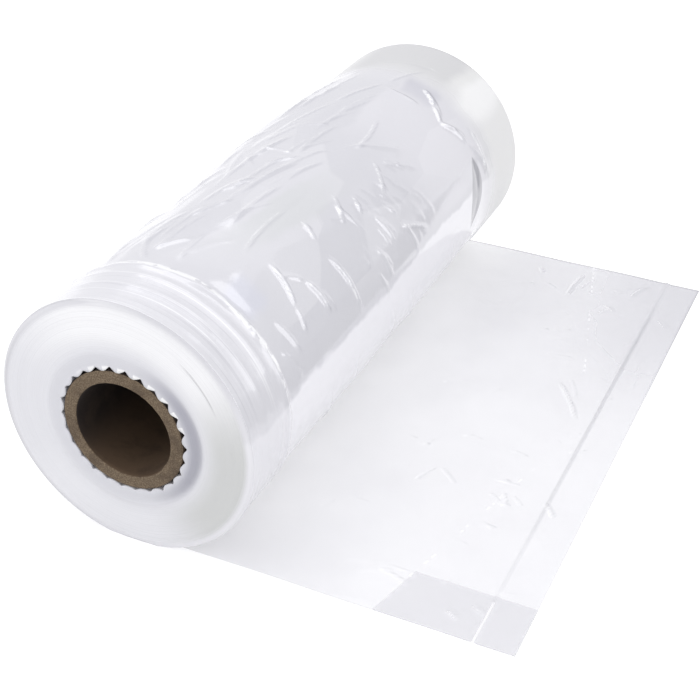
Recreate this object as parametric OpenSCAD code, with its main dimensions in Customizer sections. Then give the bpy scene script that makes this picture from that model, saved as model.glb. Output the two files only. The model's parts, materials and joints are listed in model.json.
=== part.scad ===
// A roll of clear plastic garment bags on a paperboard core.
// The roll lies on its side with its axis along Y, and the leading bag is pulled out along the
// table towards +X. The origin is the centre of the core's bore. Sizes are in millimetres.

/* [Core] */
// Diameter of the hole through the paperboard core
core_bore = 76.2; // [25.4:0.1:110]
// Thickness of the core's wound paper wall
core_wall = 10; // [3:0.5:16]
// How far the core stands out of the wound film at each end
core_proud = 0.4; // [0:0.1:6]

/* [Bag web] */
// Width of the flattened bag tube between its two folded sides
web_w = 532; // [300:1:900]
// Depth of the gusset that is folded in along each side
gusset_w = 49; // [25:1:80]
// Thickness that stands for the two layers at the middle of the flattened bag
film_t = 0.5; // [0.3:0.1:1.5]

/* [Wound roll] */
// Diameter over the hard bands at the two ends
roll_d = 201; // [160:1:300]
// How far the turns wander past the web's edge at each end
wander = 2.5; // [0.5:0.5:6]
// How far the soft roll has settled onto the table
settle = 2.4; // [0.6:0.1:3]
// Radius of the rounded rim of each end
rim_r = 4; // [1:0.5:6]
// Height of the ridges that the folded edges raise round each end band
ridge_h = 0.9; // [0.2:0.1:2]
// Ridges on each end band
ridge_count = 5; // [2:1:7]
// How far the slack middle lies below the end bands
slack = 0.8; // [0.4:0.1:3]
// Height of the largest wrinkle in the slack middle, as a share of the heights in FOLDS
wrinkle = 1; // [0.2:0.1:1.4]

/* [Roll ends] */
// Bundles of turns that can be told apart on each end face
turn_bundles = 17; // [8:1:24]
// How far neighbouring bundles of turns stand out of each other
turn_step = 0.7; // [0.2:0.1:1.5]
// Distance from the core to the sunken ring of slipped turns
slip_gap = 7; // [5:0.5:12]
// Width of the sunken ring of slipped turns
slip_w = 6; // [3:0.5:12]
// Depth of the sunken ring of slipped turns
slip_depth = 2.5; // [0.5:0.5:6]
// Ruffles of the innermost turns round the core
ruffles = 26; // [20:1:48]
// How far the ruffled turns stand off the core
ruffle_gap = 3; // [2:0.5:4.5]
// How deep the ruffles run into each end
ruffle_depth = 7; // [3:0.5:15]

/* [Leading bag] */
// Distance from the roll's axis to the free edge
pull_l = 291; // [200:1:700]
// Distance from the free edge to the straight line pressed across the web
cross_inset = 30; // [15:1:60]
// Width of the pressed lines
seal_w = 2; // [1:0.5:4]
// Height of the pressed lines
seal_h = 0.3; // [0.1:0.1:0.8]
// Distance from the free edge to the top of the neck
neck_inset = 46; // [35:1:90]
// Radius of the neck between the two shoulders
neck_r = 286; // [100:1:400]
// Slope of the shoulders
shoulder_tilt = 14; // [5:1:25]
// Distance of the leading bag's middle from the roll's middle
pull_shift = 5; // [-10:0.5:10]

/* [Hidden] */
$fn = 120;
CORE_FIT = 0.15;
BAG_FIT = 0.3;

core_r = core_bore / 2 + core_wall;
hole_r = core_r + CORE_FIT;
roll_r = roll_d / 2;
roll_l = web_w + 2 * wander;
core_l = roll_l + 2 * core_proud;
floor_z = settle - roll_r;
band_w = gusset_w + wander + 4;
ridge_l = band_w - rim_r;
slack_l = roll_l - 2 * band_w;
slack_r = roll_r - slack;

// Wrinkles of the slack middle: each is a straight ridge on the unrolled film, from one point to
// another. A point is its place along the roll as a share of the slack length, and its angle
// about the axis, from +X over the top. Then come the height in mm, negative for a hollow, and
// the half width in mm.
FOLDS = [
    [0.05, 131, 0.28, 127, 4.6, 60],
    [-0.36, 58, -0.29, 28, 2.2, 8],
    [-0.29, 28, -0.25, 12, 1.2, 8],
    [-0.22, 38, -0.19, 14, 1.8, 8],
    [-0.07, 42, 0.00, 27, 2.0, 8],
    [-0.08, 26, -0.05, 10, 1.4, 8],
    [0.02, 32, 0.08, 12, 1.8, 8],
    [0.06, 26, 0.14, 14, 1.6, 8],
    [-0.47, 67, -0.08, 63, 1.0, 9],
    [-0.47, 84, -0.05, 86, 1.0, 9],
    [0.47, 70, 0.35, 50, 2.4, 9],
    [0.35, 50, 0.42, 32, 2.4, 9],
    [0.37, 24, 0.39, -10, -2.2, 10],
    [0.34, 88, 0.49, 73, -2.0, 10],
    [-0.02, 92, 0.10, 112, 1.2, 8],
    [0.06, 90, 0.18, 108, 1.2, 8],
    [-0.30, 150, -0.12, 122, 1.8, 9],
    [0.08, 158, 0.26, 130, 1.8, 9],
    [-0.10, 196, 0.04, 168, 2.0, 9],
    [0.30, 205, 0.42, 170, 1.8, 9],
    [-0.42, 215, -0.30, 184, 1.8, 9],
    [-0.20, 248, -0.05, 220, 1.6, 9],
    [0.12, 244, 0.24, 214, 1.6, 9],
    [-0.34, -12, -0.20, -40, 1.6, 9],
    [0.02, -10, 0.14, -36, 1.8, 9]
];
SLACK_RINGS = 26;
SIDES = 80;
FADE_L = 22;
CUT = 1;

function smooth(t) = let (c = max(0, min(1, t))) c * c * (3 - 2 * c);

// The angle between two directions, from -180 to 180
function turn_to(a, b) = let (d = (a - b) % 360) d > 180 ? d - 360 : d < -180 ? d + 360 : d;

// The distance from a place on the unrolled film to a wrinkle's line, both in mm
function fold_distance(y, a, f) =
    let (
        arc = PI * roll_r / 180,
        p = [y - f[0] * slack_l, turn_to(a, f[1]) * arc],
        d = [(f[2] - f[0]) * slack_l, turn_to(f[3], f[1]) * arc],
        along = max(0, min(1, (p * d) / (d * d)))
    )
    norm(p - along * d);

function fold_height(y, a, f) = f[4] * exp(-pow(fold_distance(y, a, f) / f[5], 2));

// Long low waves that a slack film takes between its hard ends
function waves(y, a) =
    0.35 * sin(3 * a + 250 * y / slack_l) + 0.25 * sin(7 * a - 420 * y / slack_l);

// The radius of the slack middle at one place
function slack_radius(y, a) =
    let (
        fade = smooth((slack_l / 2 - abs(y)) / FADE_L),
        lift = wrinkle * (waves(y, a) + sumup([for (f = FOLDS) fold_height(y, a, f)]))
    )
    slack_r + fade * (lift - 0.3 * slack);

// The radius of an end band at a distance from its inner edge: ridges, then the rounded rim
function band_radius(s) =
    let (ridge = 0.5 - 0.5 * cos(360 * s * ridge_count / ridge_l), past = max(0, s - ridge_l))
    past > 0 ? roll_r - rim_r + sqrt(max(0, rim_r * rim_r - past * past))
    : roll_r - ridge_h * ridge;

function film_radius(y, a) =
    let (s = abs(y) - slack_l / 2)
    s < 0 ? slack_radius(y, a) : band_radius(s);

// The places along one end band where the film's outline is drawn: ridges, hollows and the rim
function band_places() = concat(
    [for (k = [0 : 2 * ridge_count]) slack_l / 2 + ridge_l * k / (2 * ridge_count)],
    [for (a = [30, 60, 90]) slack_l / 2 + ridge_l + rim_r * sin(a)]
);

function mirrored(v) = [for (k = [len(v) - 1 : -1 : 0]) -v[k]];

function sumup(v) = v * [for (x = v) 1];

// A closed solid through rings of points that all have the same number of points
module skin(rings) {
    n = len(rings[0]);
    last = len(rings) - 1;
    points = [for (ring = rings) each ring];
    start_cap = [for (i = [0 : n - 1]) i];
    end_cap = [for (i = [n - 1 : -1 : 0]) last * n + i];
    sides = [
        for (k = [0 : last - 1], i = [0 : n - 1])
        let (j = (i + 1) % n, a = k * n + i, b = k * n + j)
        each [[a, a + n, b + n], [a, b + n, b]]
    ];
    polyhedron(points, concat([start_cap, end_cap], sides), convexity = 6);
}

// Turns a shape drawn along Z so that it runs along the roll
module along_roll() {
    rotate([-90, 0, 0]) children();
}

// The paperboard tube
module core() {
    color([0.55, 0.43, 0.31])
    along_roll()
    difference() {
        cylinder(h = core_l, r = core_r, center = true);
        cylinder(h = core_l + 2, d = core_bore, center = true);
    }
}

// The outside of the wound film, drawn solid and pressed flat against the table
module film_surface() {
    middle = [for (k = [1 : SLACK_RINGS]) slack_l * (k / (SLACK_RINGS + 1) - 0.5)];
    skin([
        for (y = concat(mirrored(band_places()), middle, band_places()))
        [
            for (i = [0 : SIDES - 1])
            let (a = 360 * i / SIDES, r = film_radius(y, a))
            [r * cos(a), y, max(floor_z, r * sin(a))]
        ]
    ]);
}

// How far one of the bundles of turns lies behind the end plane
function bundle_depth(i) = turn_step * (0.55 + 0.45 * sin(137 * i));

// What is cut from an end face so that its turns show: steps, and the ring of slipped turns
module face_turns() {
    slip_r = core_r + slip_gap;
    out_r = roll_r - rim_r - CUT;
    bundle = (out_r - slip_r - slip_w) / turn_bundles;
    rotate_extrude() polygon(concat(
        [[hole_r - CUT, CUT], [hole_r - CUT, -turn_step], [slip_r, -turn_step]],
        [[slip_r, -slip_depth], [slip_r + slip_w, -slip_depth]],
        [
            for (i = [0 : turn_bundles - 1])
            each [
                [slip_r + slip_w + bundle * i, -bundle_depth(i)],
                [slip_r + slip_w + bundle * (i + 1), -bundle_depth(i)]
            ]
        ],
        [[out_r, CUT]]
    ));
}

// The scalloped space that the ruffled innermost turns leave round the core
module ruffle_pocket() {
    translate([0, 0, -ruffle_depth])
    linear_extrude(ruffle_depth + CUT)
    polygon([
        for (i = [0 : 6 * ruffles - 1])
        let (a = 60 * i / ruffles, r = hole_r + ruffle_gap * (1 - 0.95 * abs(sin(30 * i))))
        [r * cos(a), r * sin(a)]
    ]);
}

// All the turns of film as one solid, flat where they rest on the table
module wound_bags() {
    color([0.80, 0.80, 0.83])
    difference() {
        film_surface();
        along_roll() cylinder(h = roll_l + 2 * CUT, r = hole_r, center = true);
        for (end = [0, 1]) mirror([0, end, 0]) translate([0, roll_l / 2, 0]) along_roll() {
            face_turns();
            ruffle_pocket();
        }
    }
}

// The seal across the top of the bag: two sloping shoulders and a round neck, in plan
module shoulder_seal() {
    reach = web_w / 2 / cos(shoulder_tilt);
    neck_x = pull_l - neck_inset;
    meet_x = neck_x - neck_r + neck_r / cos(shoulder_tilt);
    bend = neck_r * tan(shoulder_tilt);
    for (side = [-1, 1]) {
        translate([meet_x, 0])
        rotate(side * shoulder_tilt)
        translate([-seal_w / 2, side > 0 ? bend : -reach])
        square([seal_w, reach - bend]);
    }
    intersection() {
        translate([neck_x - neck_r, 0]) difference() {
            circle(neck_r + seal_w / 2);
            circle(neck_r - seal_w / 2);
        }
        translate([neck_x - neck_r, 0])
        polygon([
            [0, 0],
            [2 * neck_r * cos(shoulder_tilt), -2 * neck_r * sin(shoulder_tilt)],
            [2 * neck_r * cos(shoulder_tilt), 2 * neck_r * sin(shoulder_tilt)]
        ]);
    }
}

// The free end of the first bag, flat on the table: two layers at the middle, four at the sides
module leading_bag() {
    color([0.88, 0.90, 0.92, 0.6])
    translate([0, pull_shift, floor_z])
    difference() {
        union() {
            translate([0, -web_w / 2, 0]) cube([pull_l, web_w, film_t]);
            for (y = [-web_w / 2, web_w / 2 - gusset_w])
            translate([0, y, 0]) cube([pull_l, gusset_w, 2 * film_t]);
            translate([pull_l - cross_inset - seal_w / 2, -web_w / 2, 0])
            cube([seal_w, web_w, 2 * film_t + seal_h]);
            intersection() {
                linear_extrude(2 * film_t + seal_h) shoulder_seal();
                translate([0, -web_w / 2, 0]) cube([pull_l, web_w, 10]);
            }
        }
        translate([0, -pull_shift, -floor_z])
        along_roll() cylinder(h = 2 * web_w, r = roll_r + BAG_FIT, center = true);
    }
}

core();
wound_bags();
leading_bag();
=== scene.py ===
"""Looks of a roll of clear garment bags on a paperboard core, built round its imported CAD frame."""

import json
import math

import bmesh
import bpy
import numpy as np
from bpy.props import FloatProperty, FloatVectorProperty, IntProperty, PointerProperty
from mathutils import Matrix, Vector


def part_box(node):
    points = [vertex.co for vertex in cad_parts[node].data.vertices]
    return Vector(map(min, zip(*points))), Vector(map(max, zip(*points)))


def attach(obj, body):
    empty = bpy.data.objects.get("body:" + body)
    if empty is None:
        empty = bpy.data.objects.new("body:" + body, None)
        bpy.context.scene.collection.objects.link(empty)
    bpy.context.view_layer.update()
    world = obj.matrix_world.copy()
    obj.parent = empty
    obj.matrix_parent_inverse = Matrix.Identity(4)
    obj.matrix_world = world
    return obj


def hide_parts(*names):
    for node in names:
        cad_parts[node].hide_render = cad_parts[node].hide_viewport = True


bl_info = {
    "name": "Garment bag roll",
    "version": (1, 0, 0),
    "blender": (4, 5, 0),
    "location": "3D View > Sidebar > Bag roll",
    "description": "Models a roll of clear film bags with its first bag pulled out",
    "category": "Add Mesh",
}

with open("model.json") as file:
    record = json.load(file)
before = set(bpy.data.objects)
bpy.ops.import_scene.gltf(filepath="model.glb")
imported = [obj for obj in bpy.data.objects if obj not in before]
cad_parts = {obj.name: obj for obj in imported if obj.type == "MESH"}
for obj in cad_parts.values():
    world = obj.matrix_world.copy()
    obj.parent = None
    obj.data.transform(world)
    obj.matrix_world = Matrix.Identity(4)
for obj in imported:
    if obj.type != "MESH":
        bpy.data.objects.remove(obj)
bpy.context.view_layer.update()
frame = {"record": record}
CORE_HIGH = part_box("core")[1]
WOUND_LOW, WOUND_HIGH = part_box("wound_bags")
SHEET_LOW, SHEET_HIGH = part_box("leading_bag")
BORE_R = frame["record"]["mounts"][0]["dims"]["r_mm"] / 1000
CORE_R = CORE_HIGH.x
CORE_HALF = CORE_HIGH.y
ROLL_HALF = WOUND_HIGH.y
FLOOR_Z = WOUND_LOW.z
SHEET_MIDDLE = (SHEET_LOW.y + SHEET_HIGH.y) / 2
MM = 0.001
# The film's hole, and where its gathered lip lies in the ruffles' gap, as a share of that gap.
HOLE_R = CORE_R + 0.0002
LIP_SHARE = 0.4
# The width of the hard end bands, and how far from each end the slack middle starts, in mm.
BAND_W = 0.062
SLACK_START = 57
# Rings of points over the near band, the middle, the far band, a rim and an end face.
NEAR_RINGS, MIDDLE_RINGS, FAR_RINGS, RIM_RINGS, FACE_RINGS = 62, 250, 40, 6, 30
# The film's points lie closest together at this angle, and none is moved further round than the
# pull, both in degrees.
DENSE_AT = 60
DENSE_PULL = 26
# The spacing of the loose sheet's grid, and the pitch of its dotted seals.
SHEET_STEP = 0.0019
DOT_PITCH = 0.0085
# The core's spiral seam: how far along the core one turn takes it, and the turn that it starts at.
SEAM_PITCH = 0.150
SEAM_START = 0.30
# The stage: brightness of the table and the room, and the places of what shows in reflections.
# The flag's corners are degrees round from straight behind the roll, and degrees up.
TABLE_GLOW = 0.76
TABLE_SHADE = (0.42, 0.42, 0.42)
ROOM_LIGHT = 0.92
ARCH_R = 1.7
ARCH_EDGES = (53, 72)
ARCH_SPAN = 130
ARCH_LEAN = -4
FLAG_R = 2.2
FLAG_CORNERS = ((42, -16), (64, -16), (64, 38), (24, 36))
TABLE_CARD_CORNERS = ((0.30, -0.35), (2.3, -0.35), (2.3, 3.8), (0.30, 0.38))
CAMERA_AT = (0.4645, -0.9100, 0.6662)
CAMERA_TURN = math.radians(24.515)
CAMERA_TILT = math.radians(32.744)
CAMERA_ROLL = math.radians(0.708)
CAMERA_LENS = 71.39


def band_radius():
    """The radius of the wound film over its hard end bands."""
    points = (v.co for v in bpy.data.objects["wound_bags"].data.vertices)
    return max(math.hypot(p.x, p.z) for p in points if abs(p.y) > ROLL_HALF - 0.050)


ROLL_R = band_radius()

# Folds that part the slack film into wide flat facets, as straight tents on the unrolled film. Each
# runs between two points, given as the place along the roll in mm and the angle in degrees from +X
# over the top. Then come the height and the half width in mm.
FACETS = [
    (-144, 82, -30, 77, 1.2, 22),
    (-196, 61, -64, 65, 1.2, 22),
    (-64, 65, 29, 68, 1.2, 22),
    (31, 70, 101, 74, 1.2, 18),
    (101, 74, 154, 82, 1.2, 16),
    (31, 70, 83, 52, 0.9, 15),
    (42, 63, 7, 43, 0.9, 14),
    (-20, 106, 21, 102, 0.9, 18),
    (21, 102, 149, 85, 1.3, 18),
    (149, 85, 217, 75, 1.3, 15),
    (149, 85, 148, 60, 1.1, 15),
    (-170, 128, -40, 136, 1.2, 24),
    (-40, 136, 120, 122, 1.2, 24),
    (-150, 176, 10, 168, 1.3, 22),
    (10, 168, 170, 178, 1.2, 22),
    (-160, 214, -20, 222, 1.2, 22),
    (-20, 222, 150, 208, 1.2, 22),
    (-180, 252, 30, 246, 1.0, 20),
    (-170, -24, -30, -30, 1.0, 20),
    (20, -26, 170, -20, 1.0, 20),
]
# The sharp short creases, in the same terms: crest in mm, and the half width that it tapers over.
CREASES = [
    (-148, 59, -157, 38, 1.27, 2.7),
    (-157, 38, -161, 26, 0.68, 2.3),
    (-150, 51, -132, 43, 0.77, 2.3),
    (-132, 43, -123, 24, 1.44, 2.7),
    (-124, 36, -116, 22, 0.59, 2.3),
    (-94, 44, -83, 12, 1.44, 2.6),
    (-32, 62, -53, 48, 0.85, 3.1),
    (-16, 55, -27, 45, 0.77, 2.3),
    (-15, 42, -6, 25, 1.1, 2.3),
    (-20, 38, -14, 24, 0.77, 2.3),
    (-10, 38, 0, 28, 0.68, 2.3),
    (-36, 31, -23, 11, 1.1, 2.3),
    (-30, 27, -20, 16, 0.59, 2.3),
    (14, 30, 29, 11, 1.19, 2.4),
    (9, 28, 54, 16, 0.85, 2.3),
    (-46, 21, -33, 5, 0.77, 2.3),
    (-85, 63, -92, 51, 0.77, 3.1),
    (-96, 62, -84, 56, 0.51, 2.3),
    (-186, 40, -176, 20, 0.77, 2.7),
    (-198, 30, -184, 14, 0.68, 2.7),
    (58, 34, 70, 20, 0.59, 2.7),
    (183, 69, 166, 58, 1.8, 3.0),
    (167, 59, 154, 50, 1.6, 2.8),
    (154, 51, 172, 33, 1.7, 2.8),
    (178, 64, 162, 52, 0.8, 2.3),
    (160, 47, 176, 36, 0.8, 2.3),
    (152, 50, 167, 41, 1.02, 2.3),
    (168, 25, 164, 6, -0.9, 5.2),
    (164, 6, 156, -11, -0.9, 4.8),
    (188, 40, 186, 10, 1.19, 2.7),
    (206, 48, 220, 38, 0.51, 2.3),
    (212, 101, 220, 67, -1.27, 5.4),
    (-3, 108, -6, 88, 0.68, 2.7),
    (-6, 90, 37, 80, 0.68, 2.7),
    (-24, 91, 18, 77, 0.68, 2.7),
    (-40, 100, -10, 112, 0.59, 2.7),
    (60, 92, 96, 84, 0.59, 2.7),
    (-60, 108, 10, 118, 0.68, 3.4),
    (-206, 98, -160, 112, 0.77, 3.4),
    (-206, 118, -150, 124, 0.94, 4.1),
    (-130, 150, -104, 124, 1.27, 3.4),
    (-96, 158, -78, 136, 0.94, 2.7),
    (30, 160, 62, 132, 1.27, 3.4),
    (88, 152, 104, 132, 0.85, 2.7),
    (-44, 198, -18, 170, 1.36, 3.4),
    (-20, 190, 0, 176, 0.77, 2.7),
    (126, 204, 150, 174, 1.27, 3.4),
    (148, 196, 170, 182, 0.85, 2.7),
    (-178, 214, -150, 186, 1.27, 3.4),
    (-120, 206, -104, 188, 0.85, 2.7),
    (-84, 246, -60, 222, 1.1, 3.4),
    (50, 244, 82, 216, 1.1, 3.4),
    (-144, -10, -120, -38, 1.1, 3.4),
    (-96, -8, -84, -26, 0.77, 2.7),
    (8, -8, 40, -34, 1.19, 3.4),
    (104, -6, 120, -30, 0.94, 2.7),
    (-30, -4, -14, -22, 0.77, 2.7),
]
# Long low creases of the upper front, in the same terms.
UPPER_CREASES = [
    (36, 110, 100, 98, 1.0, 3.0),
    (100, 98, 162, 86, 1.2, 3.0),
    (162, 86, 212, 76, 1.0, 3.0),
    (150, 87, 151, 63, 0.9, 3.0),
    (-17, 105, 28, 98, 0.8, 2.8),
    (30, 93, 132, 82, 0.7, 2.8),
    (21, 76, 84, 52, 0.8, 3.0),
    (100, 74, 35, 69, 0.7, 2.8),
    (-110, 95, -13, 84, 0.8, 2.8),
    (-141, 82, -53, 80, 1.0, 3.0),
    (-56, 81, 4, 75, 0.7, 2.8),
    (-161, 68, -77, 70, 0.7, 2.8),
    (-44, 54, -37, 39, 0.6, 2.6),
    (41, 61, 11, 43, 0.8, 3.0),
    (36, 57, 81, 42, 0.6, 2.8),
    (7, 110, 46, 101, 0.9, 2.8),
    (46, 101, 58, 89, 0.8, 2.8),
    (173, 33, 195, 7, 1.2, 3.0),
    (-196, 86, -150, 88, 0.7, 2.8),
    (-190, 100, -120, 96, 0.8, 3.0),
]
# The stretch at the back where the slack film stands off the turns below it, in the same terms.
BULGE = [(21, 131, 119, 127, 4.6, 60)]
# Ridges round the end bands: distance from the end in mm, height and half width in mm.
NEAR_RIDGES = [(13, 0.35, 3.4), (29, 0.30, 3.0), (45, 0.42, 2.8), (56.5, 1.25, 2.6)]
FAR_RIDGES = [(26, 0.20, 9.0)]
# Creases of the loose sheet: two points in mm from the roll's axis and middle, height, half width.
SHEET_CREASES = [
    (139, 249, 146, 238, 0.72, 2.5),
    (124, 209, 146, 216, 0.64, 2.9),
    (150, 224, 168, 214, 0.48, 2.9),
    (180, 205, 184, 256, 1.12, 2.9),
    (186, 222, 197, 250, 0.64, 2.2),
    (216, 207, 229, 197, 0.72, 2.5),
    (224, 204, 216, 188, 0.48, 2.2),
    (235, 230, 246, 258, 0.96, 2.5),
    (243, 252, 228, 240, 0.56, 2.2),
    (268, 202, 281, 187, 0.64, 2.5),
    (188, 98, 219, 105, 0.8, 2.5),
    (182, 120, 205, 135, 0.64, 2.5),
    (206, 112, 225, 122, 0.4, 2.2),
    (213, 70, 249, 12, 0.88, 2.5),
    (222, 78, 240, 40, 0.48, 2.2),
    (172, -50, 197, -14, 0.48, 3.2),
    (147, -74, 160, -44, 0.48, 3.2),
    (158, -118, 169, -90, 0.72, 2.5),
    (169, -90, 190, -109, 0.64, 2.3),
    (214, -104, 228, -113, 0.56, 2.2),
    (224, -98, 233, -115, 0.56, 2.2),
    (232, -100, 245, -112, 0.56, 2.2),
    (258, -98, 270, -114, 0.96, 2.3),
    (144, -223, 172, -214, 0.56, 2.3),
    (172, -214, 205, -217, 0.48, 2.2),
    (150, -260, 193, -255, 0.48, 2.2),
    (256, -31, 268, -20, 0.72, 2.2),
    (255, 47, 267, 60, 0.72, 2.2),
    (280, 62, 277, 142, 0.4, 2.9),
]


class RollSizes(bpy.types.PropertyGroup):
    """Sizes that the film and the core can be given."""

    crease_scale: FloatProperty(
        name="Crease height", description="Multiplies the height of every crease in the film",
        default=1.0, min=0, max=2,
    )
    ridge_scale: FloatProperty(
        name="Ridge height", description="Multiplies the ridges round the end bands",
        default=1.0, min=0, max=2,
    )
    slack: FloatProperty(
        name="Slack", description="How far the middle lies below the end bands",
        default=0.0010, unit="LENGTH",
    )
    rim_r: FloatProperty(
        name="Rim", description="Radius of the rim of each end", default=0.0035, unit="LENGTH",
    )
    ruffle_gap: FloatProperty(
        name="Ruffle gap", description="How far the ruffles stand off the core",
        default=0.0030, unit="LENGTH",
    )
    ruffle_depth: FloatProperty(
        name="Ruffle depth", description="How deep the ruffles run into each end",
        default=0.007, unit="LENGTH",
    )
    ruffles: IntProperty(
        name="Ruffles", description="Ruffles of film round the core", default=26, min=12, max=48,
    )
    steps: IntProperty(
        name="Steps", description="Divisions round the roll", default=228, min=96, max=360,
    )
    film_t: FloatProperty(
        name="Sheet thickness", description="Thickness of the loose sheet",
        default=0.0003, unit="LENGTH",
    )
    gusset_w: FloatProperty(
        name="Gusset", description="Depth of the gusset folded into each side",
        default=0.049, unit="LENGTH",
    )
    cross_inset: FloatProperty(
        name="Cross line", description="Pressed line's distance from the free edge",
        default=0.030, unit="LENGTH",
    )
    neck_inset: FloatProperty(
        name="Neck", description="Distance from the free edge to the top of the neck",
        default=0.046, unit="LENGTH",
    )
    neck_r: FloatProperty(
        name="Neck radius", description="Radius of the neck", default=0.286, unit="LENGTH",
    )
    shoulder_tilt: FloatProperty(
        name="Shoulder slope", description="Slope of the shoulders",
        default=math.radians(14), subtype="ANGLE",
    )


class RollColours(bpy.types.PropertyGroup):
    """Colours of the film and the board."""

    film: FloatVectorProperty(
        name="Film", description="Colour of the wound film",
        default=(0.70, 0.697, 0.735), subtype="COLOR",
    )
    film_far: FloatVectorProperty(
        name="Film at the far band", description="Colour of the film where it is hard and thick",
        default=(0.80, 0.80, 0.79), subtype="COLOR",
    )
    sheet: FloatVectorProperty(
        name="Sheet", description="Colour of the loose film",
        default=(0.74, 0.735, 0.78), subtype="COLOR",
    )
    board: FloatVectorProperty(
        name="Board", description="Colour of the core's cut end",
        default=(0.118, 0.082, 0.050), subtype="COLOR",
    )
    board_in: FloatVectorProperty(
        name="Board inside", description="Colour of the core's bore",
        default=(0.115, 0.072, 0.042), subtype="COLOR",
    )


class Num:
    """A number socket that works in plain expressions."""

    def __init__(self, shader, socket):
        self.shader, self.socket = shader, socket

    def __add__(self, other):
        return self.shader.math("ADD", self, other)

    def __sub__(self, other):
        return self.shader.math("SUBTRACT", self, other)

    def __mul__(self, other):
        return self.shader.math("MULTIPLY", self, other)

    def __truediv__(self, other):
        return self.shader.math("DIVIDE", self, other)

    def __pow__(self, other):
        return self.shader.math("POWER", self, other)

    def __rsub__(self, other):
        return self.shader.math("SUBTRACT", other, self)

    __radd__ = __add__
    __rmul__ = __mul__

    def __abs__(self):
        return self.shader.math("ABSOLUTE", self)

    def sine(self):
        return self.shader.math("SINE", self)

    def fraction(self):
        return self.shader.math("FRACT", self)

    def root(self):
        return self.shader.math("SQRT", self)


class Shader:
    """Builds one material's or world's node tree."""

    def __init__(self, owner):
        owner.use_nodes = True
        self.owner = owner
        self.tree = owner.node_tree
        self.tree.nodes.clear()

    def node(self, kind, settings=None, **values):
        """A node of that kind, with its settings first and then its sockets' values or links."""
        made = self.tree.nodes.new(kind)
        for key, value in (settings or {}).items():
            setattr(made, key, value)
        for key, value in values.items():
            self.feed(self.socket_of(made, key), value)
        return made

    def socket_of(self, node, key):
        """The input socket with that name in lower case, or with the number at the key's end."""
        for socket in node.inputs:
            if socket.enabled and socket.name.lower().replace(" ", "_") == key:
                return socket
        return node.inputs[int(key.rsplit("_", 1)[1])]

    def feed(self, socket, value):
        if isinstance(value, Num):
            value = value.socket
        if isinstance(value, bpy.types.NodeSocket):
            self.tree.links.new(value, socket)
        elif hasattr(value, "__len__") and len(value) == 3 and socket.type == "RGBA":
            socket.default_value = (*value, 1)
        else:
            socket.default_value = value

    def math(self, operation, *values):
        made = self.tree.nodes.new("ShaderNodeMath")
        made.operation = operation
        for socket, value in zip(made.inputs, values):
            self.feed(socket, value)
        return Num(self, made.outputs[0])

    def blend(self, factor, first, second):
        """A colour between two colours."""
        made = self.node("ShaderNodeMix", {"data_type": "RGBA"}, factor=factor)
        self.feed(made.inputs[6], first)
        self.feed(made.inputs[7], second)
        return made.outputs[2]

    def layers(self, base, *over):
        """A colour with others laid over it in order, each given as a factor and a colour."""
        for factor, colour in over:
            base = self.blend(factor, base, colour)
        return base

    def ramp(self, value, low, high):
        """0 below low, 1 above high and a smooth way between them."""
        made = self.node(
            "ShaderNodeMapRange", {"interpolation_type": "SMOOTHSTEP"},
            value=value, from_min=low, from_max=high,
        )
        return Num(self, made.outputs[0])

    def place(self):
        """The Object coordinates as a vector and as three numbers."""
        at = self.node("ShaderNodeTexCoord").outputs["Object"]
        parts = self.node("ShaderNodeSeparateXYZ", vector=at)
        return at, [Num(self, s) for s in parts.outputs]

    def stretched(self, at, scale):
        return self.node("ShaderNodeMapping", vector=at, scale=scale).outputs[0]

    def noise(self, at, scale, detail=2.0, roughness=0.5, distortion=0.0):
        made = self.node(
            "ShaderNodeTexNoise",
            vector=at, scale=scale, detail=detail, roughness=roughness, distortion=distortion,
        )
        return Num(self, made.outputs[0])

    def slope(self, low, high):
        """The lit and the shaded flanks of the creases, from the mesh's own slope attribute."""
        attribute = self.node("ShaderNodeAttribute", {"attribute_name": "slope"})
        slope = Num(self, attribute.outputs["Fac"])
        return self.ramp(slope, low, high), self.ramp(slope * -1, low * 0.6, high)

    def cells(self, at, scale):
        """One random number from 0 to 1 for each cell of space, with straight soft edges."""
        made = self.node(
            "ShaderNodeTexVoronoi", {"feature": "SMOOTH_F1"},
            vector=at, scale=scale, smoothness=0.12,
        )
        parts = self.node("ShaderNodeSeparateColor", color=made.outputs["Color"])
        return Num(self, parts.outputs[0])

    def line_noise(self, value, detail):
        """Noise that changes along one number only."""
        made = self.node(
            "ShaderNodeTexNoise", {"noise_dimensions": "1D"}, w=value, detail=detail, scale=1.0
        )
        return Num(self, made.outputs[0])

    def bump(self, height, strength, distance):
        return self.node(
            "ShaderNodeBump", strength=strength, distance=distance, height=height
        ).outputs[0]

    def surface(self, **values):
        """Makes the Principled shader and wires it to the material's output."""
        made = self.node("ShaderNodeBsdfPrincipled", **values)
        self.node("ShaderNodeOutputMaterial", surface=made.outputs[0])


def sizes():
    return bpy.context.scene.bag_roll_sizes


def colours():
    return bpy.context.scene.bag_roll_colours


def smooth(t):
    t = np.clip(t, 0, 1)
    return t * t * (3 - 2 * t)


def read_points(mesh):
    flat = np.empty(len(mesh.vertices) * 3, np.float32)
    mesh.vertices.foreach_get("co", flat)
    return flat.reshape(-1, 3).astype(float)


def write_points(mesh, points):
    mesh.vertices.foreach_set("co", points.astype(np.float32).ravel())
    mesh.update()


def new_piece(name, bm, smooth_faces=True):
    """An object made from a bmesh, with its faces pointing outwards."""
    bmesh.ops.recalc_face_normals(bm, faces=bm.faces)
    mesh = bpy.data.meshes.new(name)
    bm.to_mesh(mesh)
    bm.free()
    mesh.polygons.foreach_set("use_smooth", [smooth_faces] * len(mesh.polygons))
    piece = bpy.data.objects.new(name, mesh)
    bpy.context.scene.collection.objects.link(piece)
    return piece


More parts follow.
